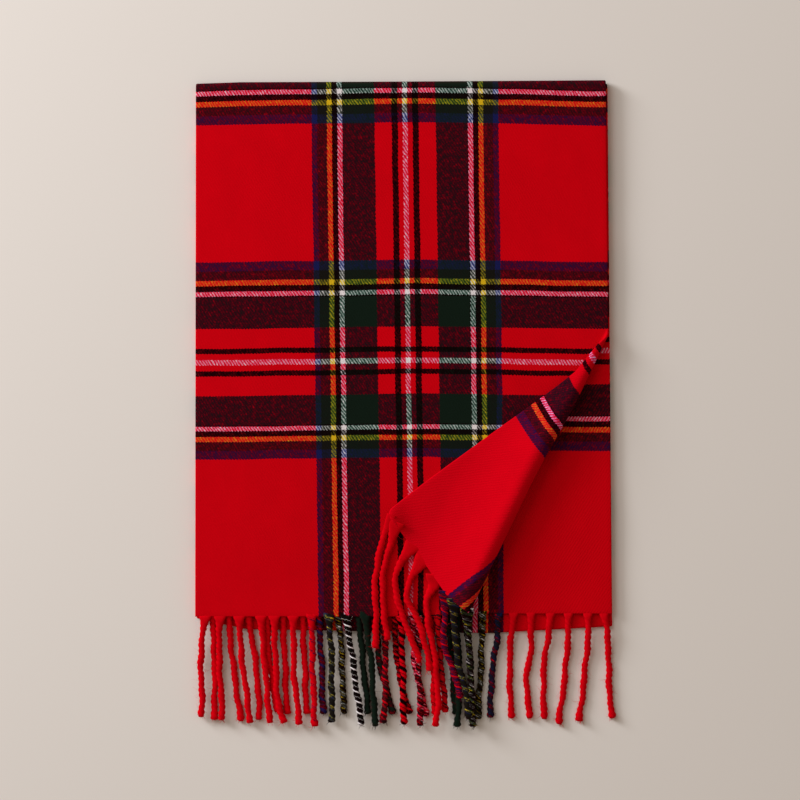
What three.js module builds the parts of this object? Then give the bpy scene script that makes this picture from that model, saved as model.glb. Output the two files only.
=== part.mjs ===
// Tartan blanket scarf, laid flat: the woven length is folded in half, fringe to fringe, and in half
// again, so that four layers of cloth lie on each other. The top layer's lower right corner is turned
// back over it and shows its underside.
//
// Millimetres, +Z up, +Y from the fringes towards the outer fold. The origin lies on the surface that
// the scarf rests on, under the middle of its box.

import * as THREE from 'three';

// ---- Driving dimensions ---------------------------------------------------------------------------

const CLOTH = 2; // thickness of the brushed wool cloth
const GAP = 0.3; // air between pieces that lie against each other
const FOLDED_LENGTH = 455.5; // from the outer fold to the top layer's fringed edge
const FRINGE_LENGTH = 94.5; // from that edge to the tips
const FRINGE_DEPTH = 3.6; // height of the strands where they lie
const LAYER_COUNT = 4;

// The turned corner: how far up the selvage and how far in along the fringed edge the cloth is turned,
// and the middle radius of the soft roll at both ends of that line.
const TURN = { upSelvage: 244.5, alongEdge: 121.4, rollAtSelvage: 1.15, rollAtEdge: 4.5, settles: 48 };

// The selvages' places, left and right of the middle, at the outer fold and at the fringed edge.
const SELVAGES = {
  lower: { leftAtFold: -176, leftAtEdge: -177, rightAtFold: 173, rightAtEdge: 177 },
  under: { leftAtFold: -175.5, leftAtEdge: -175.9, rightAtFold: 172.5, rightAtEdge: 176.8 },
  top: { leftAtFold: -176.3, leftAtEdge: -176.3, rightAtFold: 171.3, rightAtEdge: 176 },
};

// How far the lower layers' fold lies beyond the top layer's fringed edge, from selvage to selvage.
const LOWER_FOLD = [
  { across: 0, beyond: 1.8 },
  { across: 0.12, beyond: 11 },
  { across: 0.7, beyond: 14.5 },
  { across: 1, beyond: 8 },
];

// How far short of the top layer's fringed edge the under layer's fringed edge lies.
const UNDER_EDGE_SHORT = 2.3;

// Where the turned corner's strands end, from the corner to the roll: sideways and along the scarf.
const TURNED_TIPS = [
  { along: 0, x: -26, y: -207 },
  { along: 0.33, x: 8, y: -236 },
  { along: 0.66, x: 34, y: -262 },
  { along: 1, x: 62, y: -274 },
];

// How the turned corner's strands leave it: clear of its edge, straight out before they bend towards
// their tips, and lying on what is below them, that far above it, from that part of their length on.
const TURNED_STRANDS = { clear: 3, runOut: 34, above: 0.9, lieFrom: 0.35 };

// How far from its cloth's edge each lying fringe has come down to the surface, and how far from it
// the strands have reached their full height.
const FRINGE_FALL = { under: 28, top: 40 };
const FRINGE_SWELL = 30;

// The turned corner's ends are blunt: it starts and stops this far short of the ends of the turn. Its
// roll takes up at most this part of its reach.
const BLUNT_END = 3;
const ROLLED_PART = 0.5;

// The lower layers' fold is round, with rings at these parts of its quarter turns.
const NOSE_PARTS = [0.2, 0.4, 0.6, 0.8];
const GROOVE_DEPTH = 4; // between two layers, along their selvages

// Number of flat steps that each surface is made in.
const STEPS = {
  edgeRound: 4,
  across: 8,
  layerLength: 10,
  besideTurn: 6,
  aboveTurn: 5,
  outerFold: 10,
  alongTurn: 28,
  roundRoll: 9,
  beyondRoll: 11,
  strandLength: 14,
  alongTurnedEdge: 10,
};

// ---- Places worked out from them -------------------------------------------------------------------

const PITCH = CLOTH + GAP;
const STACK = LAYER_COUNT * PITCH - GAP;
const FOLD_Y = (FOLDED_LENGTH + FRINGE_LENGTH) / 2;
const EDGE_Y = FOLD_Y - FOLDED_LENGTH;
const TIP_Y = -FOLD_Y;
const FOLD_RADIUS = STACK / 2; // outside of the outer fold
const FLAT_END = FOLD_Y - FOLD_RADIUS; // where the flat layers end and the outer fold begins
const UNDER_EDGE_Y = EDGE_Y + UNDER_EDGE_SHORT;
const LOWEST_FOLD = Math.max(...LOWER_FOLD.map((row) => row.beyond));
const TOP_MIDDLE = STACK - CLOTH / 2;

const layerBase = (layer) => layer * PITCH;
const { lerp, smoothstep } = THREE.MathUtils;
const steps = (count) => Array.from({ length: count + 1 }, (_, k) => k / count);

// Reads a value between the rows of a table, by the column it is arranged by.
function readTable(rows, by, at, column) {
  const next = Math.max(1, rows.findIndex((row) => row[by] >= at));
  const [a, b] = [rows[next - 1], rows[next]];
  return lerp(a[column], b[column], (at - a[by]) / (b[by] - a[by]));
}

// A selvage's place at a height along the scarf.
function selvage(name, side, y) {
  const row = SELVAGES[name];
  return lerp(row[`${side}AtEdge`], row[`${side}AtFold`], (y - EDGE_Y) / FOLDED_LENGTH);
}

// ---- Solids ----------------------------------------------------------------------------------------

// A geometry whose faces all point out of the solid.
function closedGeometry(points, triangles) {
  const triple = ([a, b, c]) => points[a].dot(points[b].clone().cross(points[c]));
  const volume = triangles.reduce((sum, triangle) => sum + triple(triangle), 0);
  const outward = volume > 0 ? triangles : triangles.map(([a, b, c]) => [a, c, b]);
  const geometry = new THREE.BufferGeometry().setFromPoints(points);
  geometry.setIndex(outward.flat());
  geometry.computeVertexNormals();
  return geometry;
}

// A closed wall over a grid of stations. Each station has a point on either face of the cloth.
function wall(grid) {
  const rows = grid.length;
  const columns = grid[0].length;
  const stations = grid.flat();
  const points = [...stations.map((s) => s.upper), ...stations.map((s) => s.lower)];
  const upper = ([i, j]) => i * columns + j;
  const lower = ([i, j]) => rows * columns + upper([i, j]);
  const triangles = [];
  const quad = (a, b, c, d) => triangles.push([a, b, c], [a, c, d]);
  for (let i = 0; i < rows - 1; i++) {
    for (let j = 0; j < columns - 1; j++) {
      const corners = [[i, j], [i + 1, j], [i + 1, j + 1], [i, j + 1]];
      quad(...corners.map(upper));
      quad(...corners.map(lower).reverse());
    }
  }
  const rim = [];
  for (let i = 0; i < rows - 1; i++) rim.push([i, 0]);
  for (let j = 0; j < columns - 1; j++) rim.push([rows - 1, j]);
  for (let i = rows - 1; i > 0; i--) rim.push([i, columns - 1]);
  for (let j = columns - 1; j > 0; j--) rim.push([0, j]);
  rim.forEach((from, k) => {
    const to = rim[(k + 1) % rim.length];
    quad(upper(to), upper(from), lower(from), lower(to));
  });
  return closedGeometry(points, triangles);
}

// A closed solid through rings that have the same number of points, with a fan over either end.
function loft(rings) {
  const count = rings[0].length;
  const points = rings.flat();
  const triangles = [];
  for (let ring = 0; ring < rings.length - 1; ring++) {
    for (let k = 0; k < count; k++) {
      const [a, b] = [ring * count + k, ring * count + ((k + 1) % count)];
      triangles.push([a, b, b + count], [a, b + count, a + count]);
    }
  }
  for (const [ring, turned] of [[0, true], [rings.length - 1, false]]) {
    const middle = points.length;
    points.push(rings[ring].reduce((sum, p) => sum.add(p), new THREE.Vector3()).divideScalar(count));
    for (let k = 0; k < count; k++) {
      const [a, b] = [ring * count + k, ring * count + ((k + 1) % count)];
      triangles.push(turned ? [middle, b, a] : [middle, a, b]);
    }
  }
  return closedGeometry(points, triangles);
}

// ---- Layers that lie flat --------------------------------------------------------------------------

// The side of a stack of layers, from the bottom up: each layer's edge is round, with a groove between.
function layeredSide(bases) {
  const radius = CLOTH / 2;
  const side = [];
  bases.forEach((base, layer) => {
    for (const turn of steps(STEPS.edgeRound)) {
      const angle = lerp(-Math.PI / 2, Math.PI / 2, turn);
      side.push({ inset: radius * (1 - Math.cos(angle)), z: base + radius * (1 + Math.sin(angle)) });
    }
    if (layer < bases.length - 1) side.push({ inset: GROOVE_DEPTH, z: base + CLOTH + GAP / 2 });
  });
  return side;
}

// One ring round lying layers. yAt gives the ring's place along the scarf, across it and at a height;
// flatten draws the ring in towards its middle height, for the round nose of a fold.
function layerRing(name, bases, yAt, flatten = 1) {
  const side = layeredSide(bases);
  const middle = (bases[0] + bases.at(-1) + CLOTH) / 2;
  const place = (across, inset, height) => {
    const z = middle + (height - middle) * flatten;
    const y = yAt(across, z);
    const left = selvage(name, 'left', y) + inset;
    const right = selvage(name, 'right', y) - inset;
    return new THREE.Vector3(lerp(left, right, across), y, z);
  };
  const between = steps(STEPS.across).slice(1, -1);
  return [
    ...between.map((across) => place(across, side[0].inset, side[0].z)),
    ...side.map(({ inset, z }) => place(1, inset, z)),
    ...between.toReversed().map((across) => place(across, side.at(-1).inset, side.at(-1).z)),
    ...side.toReversed().map(({ inset, z }) => place(0, inset, z)),
  ];
}

// The two hidden layers on the floor: one solid, with both layers told apart along the selvages and
// the soft fold that joins them at the fringe end.
function foldedLayers() {
  const bases = [layerBase(0), layerBase(1)];
  const radius = (2 * CLOTH + GAP) / 2;
  const noseY = (across) => EDGE_Y - readTable(LOWER_FOLD, 'across', across, 'beyond');
  const nose = NOSE_PARTS.map((part) => {
    const angle = (part * Math.PI) / 2;
    const yAt = (across) => noseY(across) + radius * (1 - Math.cos(angle));
    return layerRing('lower', bases, yAt, Math.sin(angle));
  });
  const flat = steps(STEPS.layerLength).map((along) =>
    layerRing('lower', bases, (across) => lerp(noseY(across) + radius, FLAT_END - GAP, along)),
  );
  return loft([...nose, ...flat]);
}

// The fringed layer under the top one. Its upper end fits inside the outer fold.
function underLayer() {
  const bases = [layerBase(2)];
  const inner = FOLD_RADIUS - CLOTH - GAP;
  const endY = (z) => FLAT_END + Math.sqrt(Math.max(0, inner ** 2 - (z - FOLD_RADIUS) ** 2));
  const flat = steps(STEPS.layerLength).map((along) =>
    layerRing('under', bases, () => lerp(UNDER_EDGE_Y, FLAT_END - CLOTH, along)),
  );
  return loft([...flat, layerRing('under', bases, (across, z) => endY(z))]);
}

// ---- Top layer and its turned corner ---------------------------------------------------------------

const TURN_Y = EDGE_Y + TURN.upSelvage;
const TURN_START = new THREE.Vector2(selvage('top', 'right', TURN_Y), TURN_Y);
const TURN_END = new THREE.Vector2(TURN_START.x - TURN.alongEdge, EDGE_Y);
const TURN_LENGTH = TURN_START.distanceTo(TURN_END);
const ALONG_TURN = TURN_END.clone().sub(TURN_START).normalize();
const OUT_OF_TURN = new THREE.Vector2(-ALONG_TURN.y, ALONG_TURN.x);
const FLAT_CORNER = new THREE.Vector2(SELVAGES.top.rightAtEdge, EDGE_Y).sub(TURN_START);
const CORNER = { along: FLAT_CORNER.dot(ALONG_TURN), out: FLAT_CORNER.dot(OUT_OF_TURN) };

// The top layer's right border: the selvage, and below the turn the line where the roll begins.
function topRightBorder(y) {
  if (y > TURN_START.y) return selvage('top', 'right', y);
  const share = (TURN_START.y - y) / TURN.upSelvage;
  return lerp(TURN_START.x, TURN_END.x, share) - GAP;
}

// The top layer runs flat from its fringed edge and down round the outer fold to the floor.
function topLayer() {
  const flatRun = [
    ...steps(STEPS.besideTurn).map((k) => lerp(EDGE_Y, TURN_START.y, k)),
    ...steps(STEPS.aboveTurn).slice(1).map((k) => lerp(TURN_START.y, FLAT_END, k)),
  ].map((y) => ({ y, turn: 0 }));
  const foldRun = steps(STEPS.outerFold).slice(1).map((k) => ({ y: FLAT_END, turn: k * Math.PI }));
  const grid = [...flatRun, ...foldRun].map(({ y, turn }) => {
    const at = (across, radius) =>
      new THREE.Vector3(
        lerp(selvage('top', 'left', y), topRightBorder(y), across),
        y + radius * Math.sin(turn),
        FOLD_RADIUS + radius * Math.cos(turn),
      );
    return steps(STEPS.across).map((across) => ({
      upper: at(across, FOLD_RADIUS),
      lower: at(across, FOLD_RADIUS - CLOTH),
    }));
  });
  return wall(grid);
}

// The roll's middle radius at a distance along the turn.
const rollRadius = (along) => lerp(TURN.rollAtSelvage, TURN.rollAtEdge, along / TURN_LENGTH);

// How far the turned cloth reaches from the turn, at a distance along it: to the selvage up to the
// corner, and to the fringed edge beyond it.
function turnedReach(along) {
  const toSelvage = (CORNER.out * along) / CORNER.along;
  const toEdge = (CORNER.out * (TURN_LENGTH - along)) / (TURN_LENGTH - CORNER.along);
  return Math.min(toSelvage, toEdge);
}

// A point of the turned cloth, moved off its middle by the lift, for a point of the flat cloth that
// lies at those distances along the turn and out from it.
function turnedPoint(along, out, lift) {
  const radius = rollRadius(along);
  const halfTurn = Math.PI * radius;
  const angle = Math.min(out, halfTurn) / radius;
  const beyond = Math.max(0, out - halfTurn);
  const settled = smoothstep(beyond, 0, TURN.settles);
  const height = beyond > 0 ? lerp(2 * radius, PITCH, settled) : radius * (1 - Math.cos(angle));
  const sideways = radius * Math.sin(angle) - beyond;
  const place = TURN_START.clone()
    .addScaledVector(ALONG_TURN, along)
    .addScaledVector(OUT_OF_TURN, sideways + lift * Math.sin(angle));
  return new THREE.Vector3(place.x, place.y, TOP_MIDDLE + height - lift * Math.cos(angle));
}

// The turned corner: the soft roll along the turn, and the triangle of cloth beyond it.
function turnedCorner() {
  const grid = steps(STEPS.alongTurn).map((k) => {
    const along = lerp(BLUNT_END, TURN_LENGTH - BLUNT_END, k);
    const reach = turnedReach(along);
    const rolled = Math.min(reach * ROLLED_PART, Math.PI * rollRadius(along));
    const outs = [
      ...steps(STEPS.roundRoll).map((part) => part * rolled),
      ...steps(STEPS.beyondRoll).slice(1).map((part) => lerp(rolled, reach, part)),
    ];
    return outs.map((out) => ({
      upper: turnedPoint(along, out, CLOTH / 2),
      lower: turnedPoint(along, out, -CLOTH / 2),
    }));
  });
  return wall(grid);
}

// ---- Fringes, as plain solids of their reach -------------------------------------------------------

const fringeDepth = (below) => lerp(CLOTH, FRINGE_DEPTH, smoothstep(below, 0, FRINGE_SWELL));

// Undersides and upper sides of the lying fringes. They leave the stack level, come down past the
// lower fold, and the top layer's fringe lies on the under layer's.
function underFringeBase(y) {
  const past = EDGE_Y - LOWEST_FOLD - GAP - y;
  return layerBase(2) * (1 - smoothstep(past, 0, FRINGE_FALL.under));
}

function underFringeTop(y) {
  return underFringeBase(y) + fringeDepth(UNDER_EDGE_Y - y);
}

function topFringeBase(y) {
  const falling = layerBase(3) * (1 - smoothstep(EDGE_Y - y, 0, FRINGE_FALL.top));
  return Math.max(underFringeTop(y) + GAP, falling);
}

function topFringeTop(y) {
  return topFringeBase(y) + fringeDepth(EDGE_Y - y);
}

// A lying fringe between two borders, from its cloth's edge to its tips.
function lyingFringe(fromY, leftX, rightX, base, top) {
  const grid = steps(STEPS.strandLength).map((down) => {
    const y = lerp(fromY - GAP, TIP_Y, down);
    return steps(STEPS.across).map((across) => {
      const x = lerp(leftX, rightX, across);
      return { upper: new THREE.Vector3(x, y, top(y)), lower: new THREE.Vector3(x, y, base(y)) };
    });
  });
  return wall(grid);
}

// The turned corner's fringe leaves its edge square, bends towards the floor end and lies on the rest.
function turnedFringe() {
  const edgeTurn = new THREE.Vector2(0, -1);
  const outward = ALONG_TURN.clone()
    .multiplyScalar(edgeTurn.dot(ALONG_TURN))
    .addScaledVector(OUT_OF_TURN, -edgeTurn.dot(OUT_OF_TURN));
  const below = (y) => Math.max(STACK, topFringeTop(Math.min(y, EDGE_Y)));
  const rollEnd = Math.PI * TURN.rollAtEdge;
  const grid = steps(STEPS.alongTurnedEdge).map((k) => {
    const out = lerp(CORNER.out, rollEnd, k);
    const along = lerp(TURN_LENGTH, CORNER.along, out / CORNER.out);
    const edge = turnedPoint(along, out, 0);
    const root = new THREE.Vector2(edge.x, edge.y).addScaledVector(outward, TURNED_STRANDS.clear);
    const bend = root.clone().addScaledVector(outward, TURNED_STRANDS.runOut);
    const tip = new THREE.Vector2(
      readTable(TURNED_TIPS, 'along', k, 'x'),
      readTable(TURNED_TIPS, 'along', k, 'y'),
    );
    const strand = new THREE.QuadraticBezierCurve(root, bend, tip);
    return steps(STEPS.strandLength).map((down) => {
      const place = strand.getPoint(down);
      const settled = smoothstep(down, 0, TURNED_STRANDS.lieFrom);
      const resting = below(place.y) + TURNED_STRANDS.above;
      const base = lerp(edge.z - CLOTH / 2, resting, settled);
      const depth = lerp(CLOTH, FRINGE_DEPTH, settled);
      return {
        upper: new THREE.Vector3(place.x, place.y, base + depth),
        lower: new THREE.Vector3(place.x, place.y, base),
      };
    });
  });
  return wall(grid);
}

// ---- The scarf --------------------------------------------------------------------------------------

const scarf = new THREE.Group();

function addPiece(name, geometry, color) {
  const material = new THREE.MeshStandardMaterial({ color, roughness: 0.95, metalness: 0 });
  const piece = new THREE.Mesh(geometry, material);
  piece.name = name;
  scarf.add(piece);
}

const RED = 0xc00012;
const SHADED_RED = 0xa5000c;
const STRAND_RED = 0xb4000f;

addPiece('folded_layers', foldedLayers(), SHADED_RED);
addPiece('under_layer', underLayer(), RED);
addPiece('top_layer', topLayer(), RED);
addPiece('turned_corner', turnedCorner(), RED);
addPiece(
  'fringe_under',
  lyingFringe(
    UNDER_EDGE_Y,
    SELVAGES.under.leftAtEdge,
    SELVAGES.under.rightAtEdge,
    underFringeBase,
    underFringeTop,
  ),
  STRAND_RED,
);
addPiece(
  'fringe_top',
  lyingFringe(EDGE_Y, SELVAGES.top.leftAtEdge, TURN_END.x, topFringeBase, topFringeTop),
  STRAND_RED,
);
addPiece('fringe_turned', turnedFringe(), STRAND_RED);

export default scarf;
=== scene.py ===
"""Tartan blanket scarf, folded in four and laid flat, with one corner of the top layer turned back.

Places are in millimetres in the part's own frame: +Y from the fringes to the outer fold, +Z up, the
surface it lies on at z = 0. Weave coordinates count across the cloth from the middle of its sett and
along the cloth from the middle of a repeat, so the tartan follows the cloth round folds and strands.
"""

import bmesh
import bpy
import numpy as np
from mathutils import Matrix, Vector


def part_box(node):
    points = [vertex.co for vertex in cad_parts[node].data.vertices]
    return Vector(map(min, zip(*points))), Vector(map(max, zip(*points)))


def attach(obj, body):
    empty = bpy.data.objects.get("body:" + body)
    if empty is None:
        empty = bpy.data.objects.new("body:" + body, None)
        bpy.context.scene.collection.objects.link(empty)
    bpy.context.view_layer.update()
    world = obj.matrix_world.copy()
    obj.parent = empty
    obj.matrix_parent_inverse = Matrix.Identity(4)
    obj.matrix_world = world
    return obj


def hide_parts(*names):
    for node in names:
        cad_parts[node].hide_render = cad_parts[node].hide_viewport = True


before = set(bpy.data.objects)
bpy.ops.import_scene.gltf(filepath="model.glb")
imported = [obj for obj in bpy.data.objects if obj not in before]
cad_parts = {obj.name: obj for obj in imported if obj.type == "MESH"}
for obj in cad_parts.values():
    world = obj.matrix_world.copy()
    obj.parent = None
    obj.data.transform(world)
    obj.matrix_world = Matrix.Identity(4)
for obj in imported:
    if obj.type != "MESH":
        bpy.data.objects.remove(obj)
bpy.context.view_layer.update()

MM = 0.001
RANDOM = np.random.default_rng(1746)

# ---- Sizes and places, read from the frame where it has them -------------------------------------------


def box_mm(node):
    """Lowest and highest corner of a CAD node, in millimetres."""
    low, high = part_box(node)
    return np.array(low) / MM, np.array(high) / MM


TOP_LOW, TOP_HIGH = box_mm("top_layer")
UNDER_LOW, UNDER_HIGH = box_mm("under_layer")
_, LOWER_HIGH = box_mm("folded_layers")

CLOTH = UNDER_HIGH[2] - UNDER_LOW[2]
HALF = CLOTH / 2
GAP = UNDER_LOW[2] - LOWER_HIGH[2]
STACK = TOP_HIGH[2]
FOLD_Y = TOP_HIGH[1]
EDGE_Y = TOP_LOW[1]
UNDER_EDGE_Y = UNDER_LOW[1]
FLAT_END = FOLD_Y - STACK / 2
TOP_MIDDLE = STACK - HALF
UNDER_MIDDLE = (UNDER_LOW[2] + UNDER_HIGH[2]) / 2

# Selvages of each layer: at the outer fold and at the fringed edge.
SELVAGES = {
    "top": {"left": (-177.4, -178.0), "right": (171.3, 176.0)},
    "under": {"left": (-175.5, -175.9), "right": (172.5, 176.8)},
    "lower": {"left": (-176.0, -177.0), "right": (173.0, 177.0)},
}

# The outer fold: its round, and how far its line lies out of true from selvage to selvage.
FOLD_RADIUS = STACK / 2 - HALF
FOLD_LINE = {"x": [-178, -140, 0, 172], "past": [-1.9, -0.6, 0, 1.1]}
FOLD_LINE_FADE = 60.0

# The turned corner: where the roll begins on the selvage, how far in it ends along the fringed edge.
TURN_START = np.array([TOP_HIGH[0], 64.0])
TURN_END = np.array([TOP_HIGH[0] - 121.4, EDGE_Y])
TURN_LENGTH = np.linalg.norm(TURN_END - TURN_START)
ALONG = (TURN_END - TURN_START) / TURN_LENGTH
OUT = np.array([-ALONG[1], ALONG[0]])
CORNER = np.array([SELVAGES["top"]["right"][1], EDGE_Y])
CORNER_ALONG, CORNER_OUT = (CORNER - TURN_START) @ ALONG, (CORNER - TURN_START) @ OUT
CORNER_ROUND = 7.0

# Its roll is half an ellipse in section, and widens from its beginning until it is full.
ROLL_FLAT = 0.80  # height for width
HALF_ELLIPSE = 2.67  # length of the cloth round the roll, in half widths
ROLL_HALF_WIDTHS = (3.2, 9.2)
ROLL_FULL_AT = 110.0
ROLL_PAST_LINE = (1.15, 4.5)  # how far past the turn's line the roll stands, at either end of it

# The fold's edge bends in a little below the selvage: how far, where along the turn that grows, and how
# far behind the edge it has faded.
BOW = 4.2
BOW_GROWS = (55, 150)
BOW_FADES = (4, 66)

# The turned cloth has eased out at its fringed edge: how far, how soon that fades up the cloth, and how
# far out from the turn's line it begins.
EDGE_EASE = 6.5
EASE_FADE = 75
EASE_GROWS = (4, 34)

# Near the turn's beginning the turned cloth is drawn in.
DRAWN_IN = 7.0
DRAWN_IN_FADES = (25, 200)
LEAST_SHARE = 0.45

# Past the roll the turned cloth comes down to the layer that it lies on, and its tip curls up.
SETTLE_RUN = 58
SETTLE_FULLNESS = 0.35
CURL_HEIGHT = 6.5
CURL_PLACE = (-13, -104)
CURL_REACH = (11, 22)
CURL_GROWS = (30, 60)

# The two lowest layers: their fold is a nose at the fringe end, pressed flatter than the cloth behind it.
LOWER_RADIUS = (CLOTH + GAP) / 2
LOWER_QUARTER = LOWER_RADIUS * np.pi / 2
LOWER_LENGTH = FLAT_END - EDGE_Y + 8  # flat length of each layer, from the nose into the outer fold
NOSE = {"x": [-177, -134.5, 70.8, 177], "past_edge": [1.8, 11, 14.5, 8.6]}
NOSE_PRESSED = 0.62
NOSE_RISES = 26

# Share of the top layer's unevenness that the pressed layers have.
UNDER_SWELL = 0.7
LOWER_SWELL = 0.3
LOWER_SWELL_GROWS = 30

# ---- Small helpers ------------------------------------------------------------------------------------


def lerp(a, b, t):
    return a + (b - a) * t


def smooth(value, low, high):
    t = np.clip((value - low) / (high - low), 0, 1)
    return t * t * (3 - 2 * t)


def selvage(layer, side, y):
    at_fold, at_edge = SELVAGES[layer][side]
    return lerp(at_edge, at_fold, (y - EDGE_Y) / (FOLD_Y - EDGE_Y))


def swell(x, y):
    """The soft unevenness of lying cloth, half a millimetre either way at most."""
    return (
        0.22 * np.sin(x / 23 + 0.6 * np.sin(y / 41) + 0.4)
        + 0.16 * np.sin(y / 17 + 0.8 * np.sin(x / 37) + 1.9)
        + 0.10 * np.sin((x + y) / 11 + 0.3)
    )


# ---- How each layer lies ------------------------------------------------------------------------------


def ellipse_angle(part, flat):
    """Angle round a half ellipse, flat times as high as it is wide, at a part of its length."""
    angles = np.linspace(0, np.pi, 181)
    speed = np.hypot(np.cos(angles), flat * np.sin(angles))
    length = np.concatenate([[0], np.cumsum((speed[1:] + speed[:-1]) / 2)])
    return np.interp(part, length / length[-1], angles)


def along_and_out(x, y):
    """How far a place lies along the turn's line, and how far out from it towards the corner."""
    from_x, from_y = x - TURN_START[0], y - TURN_START[1]
    return from_x * ALONG[0] + from_y * ALONG[1], from_x * OUT[0] + from_y * OUT[1]


def roll_half_width(along):
    return lerp(*ROLL_HALF_WIDTHS, smooth(along, 0, ROLL_FULL_AT))


def roll_lead(along):
    """How far before the turn's line the cloth begins to lift."""
    return roll_half_width(along) - lerp(*ROLL_PAST_LINE, along / TURN_LENGTH)


def drawn_share(along, lead, round_length):
    """Share of its length that the turned cloth past the roll takes up in plan."""
    reach = np.minimum(
        CORNER_OUT * along / CORNER_ALONG,
        CORNER_OUT * (TURN_LENGTH - along) / (TURN_LENGTH - CORNER_ALONG),
    )
    spare = np.maximum(reach + lead - round_length, 1)
    drawn_in = DRAWN_IN * (1 - smooth(along, *DRAWN_IN_FADES))
    return np.clip(1 - drawn_in / spare, LEAST_SHARE, 1)


def turned_height(half_width, angle, beyond):
    """How far the cloth has risen round the roll, or come down again beyond it."""
    part = np.clip(beyond / SETTLE_RUN, 0, 1)
    settled = 1 - (1 - part) ** 2 * (1 + SETTLE_FULLNESS * part)
    roll_height = half_width * ROLL_FLAT
    return np.where(
        beyond > 0,
        lerp(2 * roll_height, CLOTH + GAP, settled),
        roll_height * (1 - np.cos(angle)),
    )


def turn_corner(x, y):
    """Where points of the top layer's flat cloth lie in plan, and how far above its level."""
    _, flat_out = along_and_out(x, y)
    eased = EDGE_EASE * (1 - smooth(y, EDGE_Y, EDGE_Y + EASE_FADE)) * smooth(flat_out, *EASE_GROWS)
    true_along, out = along_and_out(x, y - eased)
    along = np.clip(true_along, 0, TURN_LENGTH)
    half_width = roll_half_width(along)
    lead = roll_lead(along)
    past = np.maximum(out + lead, 0)
    round_length = HALF_ELLIPSE * half_width
    angle = ellipse_angle(np.minimum(past / round_length, 1), ROLL_FLAT)
    beyond = np.maximum(past - round_length, 0)
    lying = -lead + half_width * np.sin(angle) - beyond * drawn_share(along, lead, round_length)
    sideways = np.where(out + lead > 0, lying, out)
    bow = BOW * smooth(along, *BOW_GROWS)
    sideways = sideways - bow * (1 - smooth(-sideways, *BOW_FADES))
    lying_x = TURN_START[0] + ALONG[0] * true_along + OUT[0] * sideways
    lying_y = TURN_START[1] + ALONG[1] * true_along + OUT[1] * sideways
    curl_x = (lying_x - CURL_PLACE[0]) / CURL_REACH[0]
    curl_y = (lying_y - CURL_PLACE[1]) / CURL_REACH[1]
    curl = CURL_HEIGHT * np.exp(-(curl_x**2) - curl_y**2) * smooth(beyond, *CURL_GROWS)
    return lying_x, lying_y, turned_height(half_width, angle, beyond) + curl


def place_top(x, y):
    """Middle of the top layer for points of its flat cloth: flat, round the outer fold, or turned."""
    lying_x, lying_y, height = turn_corner(x, y)
    bend = np.clip((y - FLAT_END) / FOLD_RADIUS, 0, np.pi)
    lying_y = np.where(y > FLAT_END, FLAT_END + FOLD_RADIUS * np.sin(bend), lying_y)
    past = np.interp(x, FOLD_LINE["x"], FOLD_LINE["past"])
    lying_y = lying_y + past * smooth(y, FLAT_END - FOLD_LINE_FADE, FLAT_END)
    drop = FOLD_RADIUS * (1 - np.cos(bend))
    z = TOP_MIDDLE + height + swell(lying_x, lying_y) * (1 - bend / np.pi) - drop
    return np.stack([lying_x, lying_y, z], axis=-1)


def place_under(x, y):
    """Middle of the fringed layer under the top one."""
    return np.stack([x, y, UNDER_MIDDLE + UNDER_SWELL * swell(x, y)], axis=-1)


def place_lower(x, run):
    """Middle of the two lowest layers, which are one cloth: run counts from the soft fold between them."""
    nose = EDGE_Y - np.interp(x, NOSE["x"], NOSE["past_edge"]) + LOWER_RADIUS + HALF
    bend = np.clip(run / LOWER_RADIUS, -np.pi / 2, np.pi / 2)
    behind = np.maximum(np.abs(run) - LOWER_QUARTER, 0)
    y = nose - LOWER_RADIUS * np.cos(bend) + behind / LOWER_LENGTH * (FLAT_END - GAP - nose)
    pressed = lerp(NOSE_PRESSED, 1.0, smooth(behind, 0, NOSE_RISES))
    z = HALF + LOWER_RADIUS * (1 + np.sin(bend)) * pressed
    z = z + LOWER_SWELL * swell(x, y) * (bend > 0) * smooth(behind, 0, LOWER_SWELL_GROWS)
    return np.stack([x, y, z], axis=-1)


# ---- The tartan's own coordinates ---------------------------------------------------------------------

# The top layer's sett: where its middle warp lies and how that leans, and how the middle weft of its
# repeat runs from selvage to selvage.
SETT_X = 3.4
SETT_LEAN = 0.014
SETT_LEAN_FROM = 35
REPEAT_LINE = {
    "x": [-164, -138, -106, -82, -17, 18, 98, 155],
    "y": [35.4, 35.6, 36.2, 36.4, 37.5, 37.8, 36.6, 35.6],
}
# How much closer the weft lies than it was charted: above the repeat's middle from selvage to selvage,
# and below it in the cloth that isn't turned.
UPPER_WEFT = {"x": [-138, 0, 98, 155], "closer": [0.997, 1.0005, 1.006, 1.014]}
UPPER_WEFT_FROM = 85
LOWER_WEFT_CLOSER = 1.055
LOWER_WEFT_FROM = -25
LOWER_WEFT_FADES = (-40, 8)

# The sett of the layers below: where its middle warp and the middle weft of its repeat lie.
UNDER_SETT_X = 4.9
UNDER_REPEAT_Y = 45.9
END_RED = 143.9  # past this the cloth is plain red up to its fringed ends


def top_sett_x(y):
    return SETT_X - SETT_LEAN * (y - SETT_LEAN_FROM)


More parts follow.
